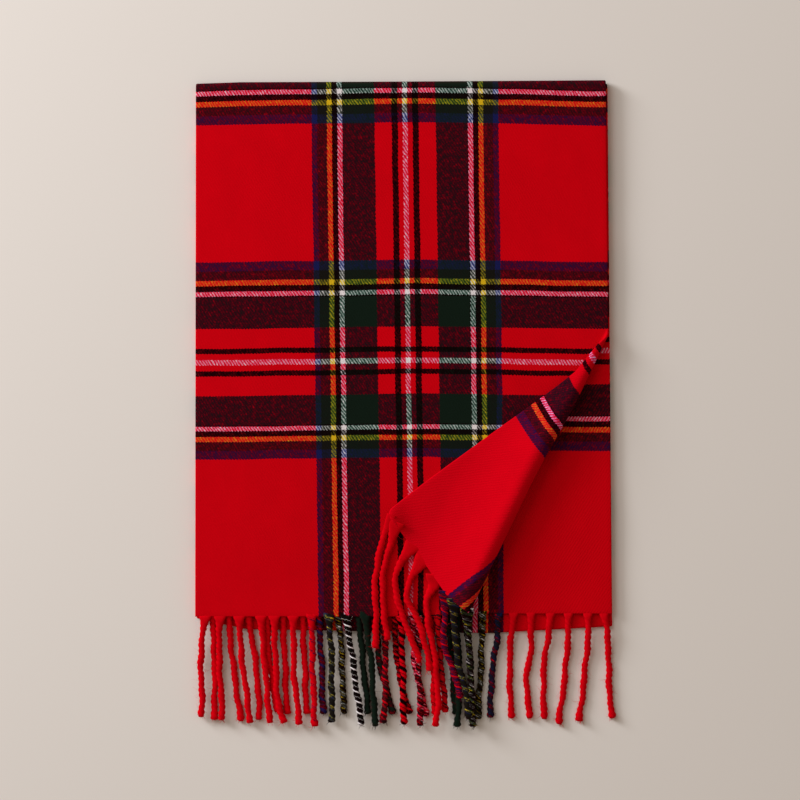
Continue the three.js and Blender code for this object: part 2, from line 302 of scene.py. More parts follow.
def weave_top(x, y):
    """Weave coordinates: place across, length along, and the weft's place in the sett."""
    length = y - np.interp(x, REPEAT_LINE["x"], REPEAT_LINE["y"])
    upper_closer = np.interp(x, UPPER_WEFT["x"], UPPER_WEFT["closer"])
    upper = UPPER_WEFT_FROM + (length - UPPER_WEFT_FROM) * upper_closer
    length = np.where(length > UPPER_WEFT_FROM, upper, length)
    _, out = along_and_out(x, y)
    lower_closer = lerp(LOWER_WEFT_CLOSER, 1.0, smooth(out, *LOWER_WEFT_FADES))
    lower = LOWER_WEFT_FROM + (length - LOWER_WEFT_FROM) * lower_closer
    length = np.where(length < LOWER_WEFT_FROM, lower, length)
    return x - top_sett_x(y), length, np.maximum(length, -END_RED)


def weave_under(x, y):
    length = UNDER_REPEAT_Y - y
    return x - UNDER_SETT_X, length, np.minimum(length, END_RED)


def weave_lower(x, run):
    return x - UNDER_SETT_X, END_RED + run, END_RED + run


# ---- Meshes -------------------------------------------------------------------------------------------

RIM = np.array([0.0, 0.07, 0.3, 0.62, 1.0]) * HALF  # rows of the net over a round rim
NET_WIDTH = 350.0  # the width that the net's columns are spaced for


def spaced(low, high, step):
    """Places from one rim to the other: close together over the round of either rim."""
    count = int(np.ceil((high - low - 2 * HALF) / step))
    middle = np.linspace(low + HALF, high - HALF, count + 1)
    return np.concatenate([low + RIM[:-1], middle, high - RIM[:-1][::-1]])


def rim_fill(distance):
    """Share of the cloth's half thickness at a distance from its rim, for a round rim."""
    left = 1 - np.clip(distance / HALF, 0, 1)
    return np.sqrt(np.maximum(1 - left * left, 0))


def make_object(name, vertices, faces, weave, material, reverse=None):
    """A mesh that carries its weave coordinates, and a cloth's also which side is its reverse, where a
    painted highlight goes.
    """
    mesh = bpy.data.meshes.new(name)
    mesh.from_pydata((vertices * MM).tolist(), [], faces)
    layer = mesh.attributes.new("weave", "FLOAT_VECTOR", "POINT")
    layer.data.foreach_set("vector", np.asarray(weave, dtype=np.float32).ravel())
    mesh.materials.append(material)
    if reverse is not None:
        layer = mesh.attributes.new("reverse", "FLOAT", "POINT")
        layer.data.foreach_set("value", reverse.astype(np.float32))
    mesh.polygons.foreach_set("use_smooth", [True] * len(mesh.polygons))
    mesh.validate()
    mesh.update()
    piece = bpy.data.objects.new(name, mesh)
    bpy.context.scene.collection.objects.link(piece)
    return piece


def cloth_sheet(name, net, place, weave, material):
    """A closed sheet of cloth over a flat net: both faces, and a round rim that they share."""
    flat, faces, rim_distance = net
    x, y = flat[:, 0], flat[:, 1]
    middle = place(x, y)
    step = 0.05
    across = place(x + step, y) - place(x - step, y)
    along = place(x, y + step) - place(x, y - step)
    normal = np.cross(across, along)
    normal /= np.maximum(np.linalg.norm(normal, axis=1, keepdims=True), 1e-9)
    fill = rim_fill(rim_distance)
    lift = normal * (HALF * fill)[:, None]
    on_rim = fill < 1e-3
    count = len(flat)
    below = np.where(on_rim, np.arange(count), count + np.cumsum(~on_rim) - 1)
    vertices = np.concatenate([middle + lift, (middle - lift)[~on_rim]])
    threads = np.stack(weave(x, y), axis=-1)
    threads = np.concatenate([threads, threads[~on_rim]])
    upper_faces = [tuple(face) for face in faces]
    lower_faces = [tuple(int(below[v]) for v in reversed(face)) for face in faces]
    # marks the reverse faces, which the material lightens as a painted highlight
    reverse = np.concatenate([np.zeros(count), np.ones(np.count_nonzero(~on_rim))])
    return make_object(name, vertices, upper_faces + lower_faces, threads, material, reverse)


def grid_faces(rows, columns):
    return [
        (i * columns + j, i * columns + j + 1, (i + 1) * columns + j + 1, (i + 1) * columns + j)
        for i in range(rows - 1)
        for j in range(columns - 1)
    ]


def band_net(layer, rows, places, step):
    """A net between a layer's selvages: its points, faces, and how far each point is from the rim.

    Rows count along the cloth, and places are the heights in plan at which the selvages are taken.
    """
    unit = spaced(0.0, NET_WIDTH, step) / NET_WIDTH
    left = selvage(layer, "left", places)[:, None]
    right = selvage(layer, "right", places)[:, None]
    x = left + (right - left) * unit[None, :]
    along = np.repeat(rows[:, None], len(unit), axis=1)
    side = np.minimum(x - left, right - x)
    end = np.minimum(rows - rows[0], rows[-1] - rows)[:, None]
    flat = np.stack([x.ravel(), along.ravel()], axis=-1)
    return flat, grid_faces(len(rows), len(unit)), np.minimum(side, end).ravel()


def round_corner(flat, corner, inward, radius):
    """Draws the net in to a round corner."""
    relative = (flat - corner) * inward
    inside = np.all(relative < radius, axis=1)
    part = np.clip((radius - relative[inside]) / radius, 0, None)
    swapped = np.minimum(part[:, ::-1], 1)
    disc = part * np.sqrt(1 - swapped**2 / 2)
    flat[inside] = corner + inward * (radius - disc * radius)
    return flat


ROLL_CUTS = 13
CUTS_FROM, CUTS_TO = 30.0, TURN_LENGTH - 20.0  # the cuts follow the roll's lines at these places along it


def cut_along_roll(flat, faces, distance):
    """Adds edges to the net along the roll, so that its round is smooth."""
    net = bmesh.new()
    rim_layer = net.verts.layers.float.new("rim")
    made = [net.verts.new((p[0], p[1], 0)) for p in flat]
    for vertex, value in zip(made, distance):
        vertex[rim_layer] = value
    for face in faces:
        net.faces.new([made[v] for v in face])
    for part in np.linspace(0, 1, ROLL_CUTS):
        ends = []
        for along in (CUTS_FROM, CUTS_TO):
            out = -roll_lead(along) + part * HALF_ELLIPSE * roll_half_width(along)
            ends.append(TURN_START + ALONG * along + OUT * out)
        direction = ends[1] - ends[0]
        normal = np.array([-direction[1], direction[0], 0.0])
        bmesh.ops.bisect_plane(
            net,
            geom=[*net.verts, *net.edges, *net.faces],
            dist=0.02,
            plane_co=(*ends[0], 0.0),
            plane_no=normal / np.linalg.norm(normal),
        )
    bmesh.ops.triangulate(net, faces=[f for f in net.faces if len(f.verts) > 4])
    net.verts.index_update()
    flat = np.array([v.co[:2] for v in net.verts])
    distance = np.array([v[rim_layer] for v in net.verts])
    faces = [tuple(v.index for v in f.verts) for f in net.faces]
    net.free()
    return flat, faces, distance


# ---- Materials ----------------------------------------------------------------------------------------

# What light each dyed wool gives back, linear red, green and blue.
DYES = {
    "red": (0.60, 0.0006, 0.0052),
    "black": (0.0006, 0.0006, 0.0006),
    "ink": (0.0055, 0.0080, 0.0060),
    "green": (0.0026, 0.0130, 0.0080),
    "blue": (0.0060, 0.0115, 0.0760),
    "white": (0.78, 0.72, 0.74),
    "yellow": (0.66, 0.42, 0.012),
}
# How strongly a dyed yarn shows where it crosses another.
COVER = {"white": 0.76, "yellow": 0.66}
PLAIN_COVER = 0.46
DENSITY_RANGE = 4.0  # the dyes' densities are kept as shares of this one
REVERSE_PAINTED_HIGHLIGHT = (1.06, 1.0, 1.4)  # painted highlight on the cloth's reverse faces, which show on top of the turned corner: more red and blue light, for how the tilted corner catches the light

# The sett, as bands from the white pivot to the red pivot: dye and the band's far side in millimetres.
WARP_SETT = [
    ("white", 1.9), ("red", 6.0), ("black", 11.35), ("red", 25.9), ("green", 52.7), ("black", 53.5),
    ("white", 57.2), ("black", 62.0), ("yellow", 66.1), ("ink", 74.8), ("blue", 79.0), ("red", 133.0),
]
WEFT_SETT = [
    ("white", 1.8), ("red", 7.0), ("black", 11.3), ("red", 28.65), ("green", 55.0), ("black", 55.8),
    ("white", 59.9), ("black", 65.2), ("yellow", 69.3), ("ink", 77.5), ("blue", 85.2), ("red", 143.9),
]
PALE_SHRINK = 0.2  # share of its width that a pale band loses at either side in a twisted strand

# How far the bands' edges wander in millimetres: thread by thread, slowly over the cloth, with the
# twill's steps, and with the frizz of a strand.
THREAD_WANDER = 1.1
SLOW_WANDER = 1.6
TWILL_STEP = 0.24
STRAND_FRIZZ = 3.0

# The twill's rows: their spacing across and along the cloth, how unevenly they run, how strongly they
# hatch plain crossings and those with a pale yarn.
ROW_ACROSS, ROW_ALONG = 2.6, 4.0
ROW_WOBBLE = 1.2
PLAIN_HATCH, PALE_HATCH = 0.08, 0.62

# How unevenly the brushed warp and weft cover each other, in coarse and in fine patches.
COARSE_MOTTLE = 1.2
FINE_MOTTLE = 0.85

# How much of a strand's surface the far side's colour takes, and how that varies.
FAR_SHARE = 0.42
FAR_FLECKS = 3.4

# How far each stands out of the surface, how much each lightens the wool, and how rough each makes it.
CLOTH_RELIEF = {"rows": 0.2, "fibres": 1.2}
STRAND_RELIEF = {"twist": 0.7, "fibres": 0.5}
TONE = {"least": 0.75, "fibres": 0.34, "broad": 0.16}
ROUGHNESS = {"least": 0.82, "fibres": 0.16}


def thinned(sett):
    """A sett with narrower pale bands: in a twisted strand the dark yarns close over the pale ones."""
    rows, start = [], 0.0
    for dye, end in sett:
        spare = (end - start) * PALE_SHRINK if dye in COVER else 0.0
        if rows and spare:
            rows[-1] = (rows[-1][0], rows[-1][1] + spare)
        rows.append((dye, end - spare))
        start = end
    return rows


class Net:
    """A material's nodes, made by short calls that give back sockets."""

    def __init__(self, name):
        self.material = bpy.data.materials.new(name)
        self.material.use_nodes = True
        self.tree = self.material.node_tree
        self.tree.nodes.clear()

    def put(self, socket, value):
        """Links a socket to another, or sets it."""
        if isinstance(value, bpy.types.NodeSocket):
            self.tree.links.new(value, socket)
        else:
            socket.default_value = value

    def node(self, kind, inputs=None, **settings):
        made = self.tree.nodes.new(kind)
        for key, value in settings.items():
            setattr(made, key, value)
        for key, value in (inputs or {}).items():
            self.put(made.inputs[key], value)
        return made

    def math(self, operation, *values, clamp=False):
        made = self.node("ShaderNodeMath", dict(enumerate(values)), operation=operation, use_clamp=clamp)
        return made.outputs[0]

    def mix(self, factor, a, b):
        made = self.node("ShaderNodeMix", data_type="RGBA", clamp_factor=True)
        for key, value in zip((0, 6, 7), (factor, a, b)):
            self.put(made.inputs[key], value)
        return made.outputs[2]

    def attribute(self, name):
        return self.node("ShaderNodeAttribute", attribute_name=name).outputs

    def weave_axes(self):
        """The three weave coordinates, one by one."""
        return list(self.node("ShaderNodeSeparateXYZ", {0: self.attribute("weave")["Vector"]}).outputs)

    def noise(self, vector, scale, detail, roughness=0.5):
        values = {"Vector": vector, "Scale": scale, "Detail": detail, "Roughness": roughness}
        return self.node("ShaderNodeTexNoise", values).outputs["Fac"]

    def cloth_noise(self, across, along, detail=2.0, roughness=0.5):
        """Noise in weave coordinates, with this many patches to the millimetre across and along."""
        weave = self.attribute("weave")["Vector"]
        scaled = self.node("ShaderNodeVectorMath", {0: weave, 1: (across, along, 0.0)}, operation="MULTIPLY")
        return self.noise(scaled.outputs[0], 1.0, detail, roughness)

    def uneven(self, strength, across, along, detail=3.0, roughness=0.7):
        """Such noise, to either side of zero."""
        centred = self.math("SUBTRACT", self.cloth_noise(across, along, detail, roughness), 0.5)
        return self.math("MULTIPLY", centred, strength)

    def dye_ramp(self, place, sett):
        """Dye densities of the band that a distance from the white pivot falls in, and its cover."""
        pivot = sett[-1][1]
        folded = self.math("PINGPONG", self.math("ABSOLUTE", place), pivot)
        part = self.math("DIVIDE", folded, pivot)
        made = self.node("ShaderNodeValToRGB", {"Fac": part})
        ramp = made.color_ramp
        ramp.interpolation = "CONSTANT"
        start = 0.0
        for index, (dye, far) in enumerate(sett):
            # a new ramp has two elements already
            element = ramp.elements[index] if index < 2 else ramp.elements.new(start / pivot)
            element.position = start / pivot
            density = -np.log10(np.array(DYES[dye])) / DENSITY_RANGE
            element.color = (*density, COVER.get(dye, PLAIN_COVER))
            start = far
        return made.outputs["Color"], made.outputs["Alpha"]

    def dyed_light(self, densities):
        """The light that mixed dyes give back, with a painted highlight on the cloth's reverse faces."""
        parts = self.node("ShaderNodeSeparateColor", {0: densities}).outputs
        # the reverse faces take a painted highlight: more red and blue light
        reverse = self.attribute("reverse")["Fac"]
        channels = []
        for part, gain in zip(list(parts)[:3], REVERSE_PAINTED_HIGHLIGHT):
            painted_highlight_power = self.math("MULTIPLY", reverse, float(np.log10(gain)))
            power = self.math("ADD", self.math("MULTIPLY", part, -DENSITY_RANGE), painted_highlight_power)
            channels.append(self.math("POWER", 10.0, power))
        return self.node("ShaderNodeCombineColor", dict(enumerate(channels))).outputs[0]


def woven_dyes(net, wander, fibres):
    """Warp and weft that cross in twill rows: their mixed dyes, and how they stand out."""
    across, along, weft_place = net.weave_axes()
    rows = net.math("ADD", net.math("DIVIDE", across, ROW_ACROSS), net.math("DIVIDE", along, ROW_ALONG))
    wobble = net.cloth_noise(across=0.12, along=0.12)
    rows = net.math("ADD", rows, net.math("MULTIPLY", wobble, ROW_WOBBLE))
    wave = net.math("SINE", net.math("MULTIPLY", rows, 2 * np.pi))
    moved = net.math("ADD", wander, net.math("MULTIPLY", wave, TWILL_STEP))
    warp, warp_cover = net.dye_ramp(net.math("ADD", across, moved), WARP_SETT)
    weft, weft_cover = net.dye_ramp(net.math("SUBTRACT", weft_place, moved), WEFT_SETT)
    pale = net.math("SUBTRACT", net.math("ADD", warp_cover, weft_cover), 2 * PLAIN_COVER)
    hatch = net.math("ADD", PLAIN_HATCH, net.math("MULTIPLY", pale, PALE_HATCH))
    share = net.math("ADD", 0.5, net.math("MULTIPLY", wave, hatch))
    share = net.math("ADD", share, net.uneven(COARSE_MOTTLE, across=0.30, along=0.25))
    share = net.math("ADD", share, net.uneven(FINE_MOTTLE, across=0.9, along=0.7), clamp=True)
    over = net.math("MULTIPLY", share, warp_cover)
    under = net.math("MULTIPLY", net.math("SUBTRACT", 1.0, share), weft_cover)
    share = net.math("DIVIDE", over, net.math("ADD", over, under))
    row_relief = net.math("MULTIPLY", wave, CLOTH_RELIEF["rows"])
    relief = net.math("ADD", row_relief, net.math("MULTIPLY", fibres, CLOTH_RELIEF["fibres"]))
    return net.mix(share, weft, warp), relief


def twisted_dyes(net, wander, fibres):
    """A strand's warp, where the far side of the twist shows through in flecks."""
    across, _, middle = net.weave_axes()
    sett = thinned(WARP_SETT)
    frizz = net.math("MULTIPLY", net.math("SUBTRACT", fibres, 0.5), STRAND_FRIZZ)
    moved = net.math("ADD", wander, frizz)
    near, _ = net.dye_ramp(net.math("ADD", across, moved), sett)
    mirrored = net.math("SUBTRACT", net.math("MULTIPLY", middle, 2.0), across)
    far, _ = net.dye_ramp(net.math("SUBTRACT", mirrored, moved), sett)
    share = net.math("ADD", FAR_SHARE, net.uneven(FAR_FLECKS, across=0.5, along=0.42), clamp=True)
    twist = net.cloth_noise(across=1.6, along=0.25, detail=3.0, roughness=0.6)
    twist_relief = net.math("MULTIPLY", twist, STRAND_RELIEF["twist"])
    relief = net.math("ADD", twist_relief, net.math("MULTIPLY", fibres, STRAND_RELIEF["fibres"]))
    return net.mix(share, near, far), relief


def wool_material(name, dyes):
    """Brushed wool in the tartan's colours, from the weave coordinates that its mesh carries."""
    net = Net(name)
    fibres = net.cloth_noise(across=2.2, along=0.8, detail=3.0, roughness=0.65)
    thread_wander = net.uneven(THREAD_WANDER, across=0.9, along=0.9, detail=2.0, roughness=0.6)
    slow_wander = net.uneven(SLOW_WANDER, across=0.022, along=0.022, detail=1.0, roughness=0.5)
    densities, relief = dyes(net, net.math("ADD", thread_wander, slow_wander), fibres)
    broad = net.math("MULTIPLY", net.cloth_noise(across=0.05, along=0.03), TONE["broad"])
    tone = net.math("ADD", net.math("MULTIPLY", fibres, TONE["fibres"]), broad)
    light = {0: net.dyed_light(densities), "Scale": net.math("ADD", tone, TONE["least"])}
    colour = net.node("ShaderNodeVectorMath", light, operation="SCALE").outputs[0]
    bump = net.node("ShaderNodeBump", {"Strength": 0.55, "Distance": 0.35 * MM, "Height": relief}).outputs[0]
    surface = net.node(
        "ShaderNodeBsdfPrincipled",
        {
            "Base Color": colour,
            "Roughness": net.math(
                "ADD", ROUGHNESS["least"], net.math("MULTIPLY", fibres, ROUGHNESS["fibres"])
            ),
            "Normal": bump,
            "Specular IOR Level": 0.005,
            "Sheen Weight": 0.06,
            "Sheen Roughness": 0.6,
            "Sheen Tint": (1.0, 0.005, 0.08, 1.0),
        },
    ).outputs[0]
    net.node("ShaderNodeOutputMaterial", {"Surface": surface})
    return net.material


def floor_material():
    net = Net("pale_floor")
    place = net.node("ShaderNodeTexCoord").outputs["Object"]
    colour = net.mix(net.noise(place, 900.0, 2.0), (0.790, 0.738, 0.700, 1.0), (0.800, 0.748, 0.710, 1.0))
    surface = net.node(
        "ShaderNodeBsdfPrincipled",
        {"Base Color": colour, "Roughness": 0.9, "Specular IOR Level": 0.1},
    ).outputs[0]
    net.node("ShaderNodeOutputMaterial", {"Surface": surface})
    return net.material


face_wool = wool_material("brushed_tartan_wool", woven_dyes)
strand_wool = wool_material("twisted_fringe_wool", twisted_dyes)

# ---- Cloth pieces -------------------------------------------------------------------------------------

CELL = 3.4
LOWER_CELL = 6.0
FOLD_ROWS = 14
FOLD_ROWS_LEAD = 3  # the outer fold's rows begin this far before it bends
LOWER_ROWS = 60
NOSE_ROWS = 9


def make_top():
    """The layer that shows: flat cloth, its turned corner, and its end that goes round the outer fold."""
    fold_end = FLAT_END + FOLD_RADIUS * np.pi
    rows = np.concatenate([
        spaced(EDGE_Y, fold_end, CELL)[: int((FLAT_END - EDGE_Y) / CELL)],
        np.linspace(FLAT_END - FOLD_ROWS_LEAD, fold_end - HALF, FOLD_ROWS),
        fold_end - RIM[:-1][::-1],
    ])
    flat, faces, distance = band_net("top", rows, np.clip(rows, EDGE_Y, FOLD_Y), CELL)
    flat = round_corner(flat, CORNER, np.array([-1.0, 1.0]), CORNER_ROUND)
    net = cut_along_roll(flat, faces, distance)
    return cloth_sheet("cloth_top", net, place_top, weave_top, face_wool)


def make_under():
    """The fringed layer under the top one."""
    rows = spaced(UNDER_EDGE_Y, UNDER_HIGH[1], CELL)
    net = band_net("under", rows, np.clip(rows, EDGE_Y, FOLD_Y), CELL)
    return cloth_sheet("cloth_under", net, place_under, weave_under, face_wool)


def make_lower():
    """The two lowest layers and the fold between them."""
    end = LOWER_QUARTER + LOWER_LENGTH
    rows = np.concatenate([
        -end + RIM[:-1],
        np.linspace(-end + HALF, -LOWER_QUARTER, LOWER_ROWS),
        np.linspace(-LOWER_QUARTER, LOWER_QUARTER, NOSE_ROWS)[1:-1],
        np.linspace(LOWER_QUARTER, end - HALF, LOWER_ROWS),
        end - RIM[:-1][::-1],
    ])
    lying = np.clip(np.abs(rows) / LOWER_LENGTH, 0, 1)
    net = band_net("lower", rows, lerp(EDGE_Y, FOLD_Y, lying), LOWER_CELL)
    return cloth_sheet("cloth_lower", net, place_lower, weave_lower, face_wool)


cloth_top = make_top()
cloth_under = make_under()
cloth_lower = make_lower()

# ---- Fringe strands -----------------------------------------------------------------------------------

STRAND_HALF_WIDTH = 2.95
STRAND_HALF_HEIGHT = 2.15
TWIST_PITCH = 9.5
TWIST_FROM = 2.5
BUNCH = 7.6  # half the width of cloth whose warp gathers into one strand
SIDES = 16
RING_STEP = 1.25
CURVE_STEPS = 24
ROOT_INSET = 1.3  # how far inside the cloth's edge a strand begins
ROOT_EMERGES = 3.5  # how far from its beginning a root has risen out of the cloth
ROOT_HEIGHTS = (0.7, 1.12)  # a root's half height at its beginning and then, in half thicknesses of cloth
GATHER_POWER = 1.6  # how sharply a root gathers
ROOT_FLATNESS = 1.6  # how long its outline stays a flat one
# A ply's half thickness, and how far its middle is off the strand's, as shares of the strand's half width.
PLY_RADIUS, PLY_OFFSET = 0.74, 0.26

# Waves along a strand, as height and length: how it wavers to its sides once it is free of the cloth,
# and how its thickness varies.
WAVER = [(0.45, 6.5), (0.3, 3.1)]
WAVER_GROWS = (8, 25)
THICKNESS_WAVES = [(0.07, 5.2), (0.05, 2.3)]

# How much a tip swells and then closes, and between which distances from its end.
TIP_SWELLS, TIP_SWELL_RUN = 0.16, (9, 2)
TIP_CLOSES, TIP_CLOSE_RUN = 0.4, (1.4, 0)

# Each strand has its own stretch of the wool's noise, so no two are mottled alike.
OWN_NOISE_FROM, OWN_NOISE_STEP = 400, 37

# Stray fibres: how many stand out along a strand and at its frayed tip, how long and how thick they are,
# and how far they lean along the strand.
STRAYS = {"count": 34, "length": (2.5, 8.5), "radius": (0.05, 0.11), "ahead": [-0.9, 0.9]}
FRAYS = {"count": 16, "length": (2.5, 6.0), "radius": (0.16, 0.30), "ahead": 1.5}
STRAY_RINGS = (6, 3)  # rings at either end of a strand that have no stray fibres
FRAY_FROM = 0.93  # share of the strand's length past which its tip frays
FRAY_DEPTH = (0.2, 0.9)  # how far from the strand's middle frayed fibres begin
HAIR_OUTWARD = (0.3, 0.8)
HAIR_CURL = 0.35
HAIR_STEEPEST = -0.2
HAIR_TAPER = np.array([1.0, 0.9, 0.75, 0.55, 0.25])
HAIR_SIDES = 3


class Bundle:
    """Meshes that are gathered into one piece."""

    def __init__(self):
        self.vertices, self.faces, self.weave, self.count = [], [], [], 0

    def add(self, rings, weave):
        """Adds a closed tube, from its rings of points."""
        count, sides, _ = rings.shape
        self.vertices.append(rings.reshape(-1, 3))
        self.weave.append(weave.reshape(-1, 3))
        self.faces += [tuple(v + self.count for v in face) for face in tube_faces(count, sides)]
        self.count += count * sides

    def piece(self, name):
        vertices, weave = np.concatenate(self.vertices), np.concatenate(self.weave)
        return make_object(name, vertices, self.faces, weave, strand_wool)


def smooth_route(points, step):
    """A smooth curve through points, sampled at even steps, and how far along it each sample is."""
    points = np.asarray(points, dtype=float)
    ends = np.concatenate([[2 * points[0] - points[1]], points, [2 * points[-1] - points[-2]]])
    t = np.linspace(0, 1, CURVE_STEPS, endpoint=False)[:, None]
    dense = []
    for a, b, c, d in zip(ends[:-3], ends[1:-2], ends[2:-1], ends[3:]):
        square = (2 * a - 5 * b + 4 * c - d) * t**2
        cube = (3 * b - a - 3 * c + d) * t**3
        dense.append(0.5 * (2 * b + (c - a) * t + square + cube))
    dense = np.concatenate([*dense, points[-1:]])
    length = np.concatenate([[0], np.cumsum(np.linalg.norm(np.diff(dense, axis=0), axis=1))])
    places = np.linspace(0, length[-1], int(length[-1] / step) + 1)
    route = np.stack([np.interp(places, length, dense[:, k]) for k in range(3)], axis=-1)
    return route, places


def directions(route):
    """Unit vectors along a route, to its side and up from it."""
    tangent = np.gradient(route, axis=0)
    tangent /= np.linalg.norm(tangent, axis=1, keepdims=True)
    side = np.cross(tangent, [0, 0, 1.0])
    side /= np.linalg.norm(side, axis=1, keepdims=True)
    return tangent, side, np.cross(side, tangent)


def tube_faces(rings, sides):
    faces = [
        (r * sides + k, r * sides + (k + 1) % sides, (r + 1) * sides + (k + 1) % sides, (r + 1) * sides + k)
        for r in range(rings - 1)
        for k in range(sides)
    ]
    faces.append(tuple(range(sides))[::-1])
    faces.append(tuple((rings - 1) * sides + k for k in range(sides)))
    return faces


def two_ply(angle):
    """Outline of two plies twisted together, 1 at its widest."""
    return PLY_OFFSET * np.abs(np.cos(angle)) + np.sqrt(PLY_RADIUS**2 - (PLY_OFFSET * np.sin(angle)) ** 2)


def add_hair(bundle, start, heading, length, radius, thread):
    """One stray fibre: a thin tube that curls and tapers."""
    bends = RANDOM.normal(0, HAIR_CURL, 3)
    steps = len(HAIR_TAPER) - 1
    points = [start]
    for _ in range(steps):
        heading = heading + bends
        heading[2] = max(heading[2], HAIR_STEEPEST)
        heading = heading / np.linalg.norm(heading)
        points.append(points[-1] + heading * length / steps)
    route = np.array(points)
    route[:, 2] = np.maximum(route[:, 2], radius)
    _, side, up = directions(route + RANDOM.normal(0, 1e-3, route.shape))
    angle = np.arange(HAIR_SIDES) * 2 * np.pi / HAIR_SIDES
    spokes = np.cos(angle)[None, :, None] * side[:, None] + np.sin(angle)[None, :, None] * up[:, None]
    rings = route[:, None] + (HAIR_TAPER * radius)[:, None, None] * spokes
    bundle.add(rings, np.tile(thread, (rings[..., 0].size, 1)))


def add_hairs(bundle, route, tangent, rings, outline, threads):
    """Stray fibres along a strand, and the frayed fibres of its tip."""
    for k in range(STRAYS["count"] + FRAYS["count"]):
        frayed = k >= STRAYS["count"]
        kind = FRAYS if frayed else STRAYS
        if frayed:
            ring = int(RANDOM.uniform(FRAY_FROM, 1.0) * len(route)) - 1
        else:
            ring = RANDOM.integers(STRAY_RINGS[0], len(route) - STRAY_RINGS[1])
        spoke = RANDOM.integers(0, SIDES)
        start = rings[ring, spoke]
        if frayed:
            start = lerp(route[ring], start, RANDOM.uniform(*FRAY_DEPTH))
        outward = outline[ring, spoke] / np.linalg.norm(outline[ring, spoke])
        ahead = tangent[ring] * (kind["ahead"] if frayed else RANDOM.choice(kind["ahead"]))
        length = RANDOM.uniform(*kind["length"])
        radius = RANDOM.uniform(*kind["radius"])
        heading = outward * RANDOM.uniform(*HAIR_OUTWARD) + ahead
        add_hair(bundle, start, heading, length, radius, threads[ring, spoke])


def waves(table, run, phases):
    """Sum of sine waves along a strand, each with its height, its length and a phase of its own."""
    return sum(height * np.sin(run / length + phase) for (height, length), phase in zip(table, phases))


def add_strand(bundle, points, warp, across, root):
    """One fringe strand: warp gathered at the cloth's edge, twisted in two plies, with a frayed tip.

    Across says which way the warp runs round the strand, and root gives the half width of its root and
    the length over which that gathers.
    """
    route, run = smooth_route(points, RING_STEP)
    total = run[-1]
    tangent, side, up = directions(route)
    phase = RANDOM.uniform(0, 2 * np.pi, 4)
    route = route + side * (smooth(run, *WAVER_GROWS) * waves(WAVER, run, phase[:2]))[:, None]
    root_half_width, root_length = root
    gather = np.exp(-((run / root_length) ** GATHER_POWER))
    swells = TIP_SWELLS * smooth(run, total - TIP_SWELL_RUN[0], total - TIP_SWELL_RUN[1])
    closes = TIP_CLOSES * smooth(run, total - TIP_CLOSE_RUN[0], total - TIP_CLOSE_RUN[1])
    body = (1 + waves(THICKNESS_WAVES, run, phase[2:])) * (1 + swells - closes)
    half_width = lerp(STRAND_HALF_WIDTH * body, root_half_width, gather)
    root_half_height = HALF * lerp(*ROOT_HEIGHTS, smooth(run, 0, ROOT_EMERGES))
    half_height = lerp(STRAND_HALF_HEIGHT * body, root_half_height, gather)
    twist = np.maximum(run - TWIST_FROM, 0) / TWIST_PITCH * 2 * np.pi
    angle = np.arange(SIDES) * 2 * np.pi / SIDES
    turned = angle[None, :] - twist[:, None]
    flat_root = (np.cos(angle) ** 4 + np.sin(angle) ** 4) ** -0.25
    plies = lerp(two_ply(turned), flat_root[None, :], np.minimum(ROOT_FLATNESS * gather, 1)[:, None])
    outline = side[:, None] * (half_width[:, None] * np.cos(angle) * plies)[..., None]
    outline = outline + up[:, None] * (half_height[:, None] * np.sin(angle) * plies)[..., None]
    rings = route[:, None] + outline
    rings[..., 2] = np.maximum(rings[..., 2], 0.05)
    own_length = np.broadcast_to(run[:, None] + OWN_NOISE_FROM + OWN_NOISE_STEP * phase[0], turned.shape)
    own_warp = warp + across * BUNCH * (2 * ((turned / (2 * np.pi)) % 1) - 1)
    threads = np.stack([own_warp, own_length, np.full(turned.shape, warp)], axis=-1)
    bundle.add(rings, threads)
    add_hairs(bundle, route, tangent, rings, outline, threads)


# ---- The three fringes --------------------------------------------------------------------------------

# Strands of the top layer: places in plan, from just below the cloth's edge to the tip.
TOP_STRANDS = [
    [(-169.8, -182), (-172.4, -201.3), (-173.6, -220), (-172.4, -238.7), (-173, -266.1)],
    [(-157, -182), (-157.8, -198), (-157.4, -220), (-154.9, -268.7)],
    [(-140.5, -182), (-139.3, -207.6), (-136.2, -232.5), (-131.2, -271.2)],
    [(-122, -182), (-120, -207.6), (-117.5, -237.5), (-114.3, -271.2)],
    [(-110.7, -182), (-110, -207.6), (-108.8, -238.7), (-106.3, -259.9), (-102.5, -271.2)],
    [(-94.6, -182), (-94.4, -207.6), (-93.2, -238.7), (-88.8, -272.4)],
    [(-79, -182), (-78.2, -220), (-76.3, -274)],
    [(-64, -182), (-62, -220), (-62, -270.6)],
    [(-49.2, -182), (-45.1, -210), (-42.1, -232.5), (-36.5, -273)],
    [(-33.2, -182), (-28.3, -220), (-25, -274)],
    [(-18.5, -182), (-16, -220), (-17.5, -271.2)],
    [(-3, -182), (-1.5, -220), (-0.8, -272.4)],
    [(12.5, -182), (12, -220), (14, -273.5)],
    [(28, -182), (31, -220), (35, -262)],
    [(44, -182), (46, -220), (45.5, -274.5)],
]

